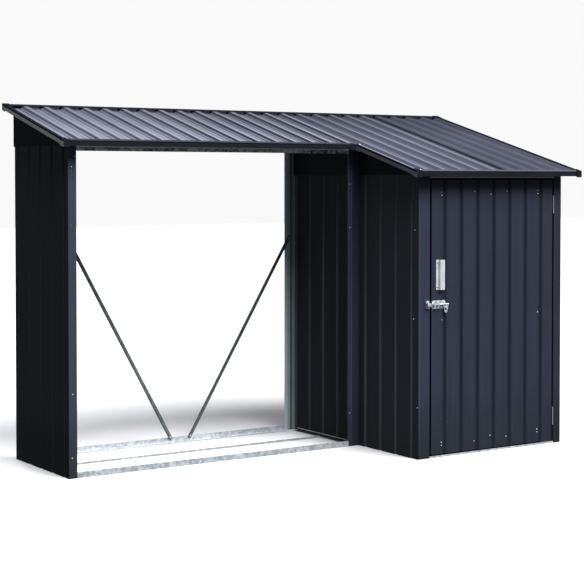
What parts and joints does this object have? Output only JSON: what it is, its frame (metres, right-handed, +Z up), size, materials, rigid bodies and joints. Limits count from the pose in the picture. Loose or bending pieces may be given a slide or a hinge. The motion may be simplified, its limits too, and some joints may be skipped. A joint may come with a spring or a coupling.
{
  "type": "log store with tool shed",
  "caption": "Ribbed sheet steel log store: an open bay with base rails and back braces, joined to a deeper tool shed with a bolted door, under one sloping roof stepped forward over the shed.",
  "frame": {"origin": "on the ground, under the middle of the roof's outline", "axes": "+X along the front to the shed's side, -Y out of the front, +Z up"},
  "size_m": [2.435, 1.074, 1.5685],
  "materials": {
    "wall_paint": "satin",
    "door_paint": "satin",
    "roof_paint": "satin",
    "trim_paint": "satin",
    "galvanised": "dull",
    "zinc_hardware": "satin"
  },
  "bodies": {
    "frame": {"left_wall": "wall_paint", "left_gable": "wall_paint", "partition_wall": "wall_paint", "fore_wall": "wall_paint", "shed_left_gable": "wall_paint", "shed_right_wall": "wall_paint", "shed_right_gable": "wall_paint", "shed_back_wall": "wall_paint", "left_front_post": "door_paint", "mid_front_post": "door_paint", "shed_front_left_post": "door_paint", "shed_front_right_post": "door_paint", "door_header": "door_paint", "bay_roof_sheet": "roof_paint", "shed_roof_sheet_left": "roof_paint", "shed_roof_sheet_right": "roof_paint", "trim_left": "trim_paint", "trim_bay_front": "trim_paint", "trim_step": "trim_paint", "trim_shed_front": "trim_paint", "trim_right": "trim_paint", "trim_back": "trim_paint", "roof_corner_caps": "trim_paint", "left_rear_post": "galvanised", "mid_rear_post": "galvanised", "shed_rear_right_post": "galvanised", "bay_front_beam": "galvanised", "bay_back_beam": "galvanised", "bay_front_rail": "galvanised", "bay_middle_rail": "galvanised", "bay_back_rail": "galvanised", "left_base_rail": "galvanised", "partition_base_rail": "galvanised", "shed_sill": "galvanised", "shed_base_rails": "galvanised", "brace_left": "galvanised", "brace_right": "galvanised", "bolt_keeper": "zinc_hardware", "hinge_post_leaves": "zinc_hardware"},
    "door": {"door_panel": "door_paint", "door_stiles": "galvanised", "door_rails": "galvanised", "door_handle": "zinc_hardware", "bolt_plate": "zinc_hardware", "hinge_door_leaves": "zinc_hardware"},
    "bolt": {"bolt": "zinc_hardware"}
  },
  "joints": [
    {"name": "door_swing", "type": "hinge", "parent": "frame", "child": "door", "pos_m": [1.1005, -0.47, 0.6], "axis": [0, 0, 1], "range_deg": [0, 110]},
    {"name": "bolt_slide", "type": "slide", "parent": "door", "child": "bolt", "axis": [-1, 0, 0], "range_m": [0, 0.024]}
  ]
}
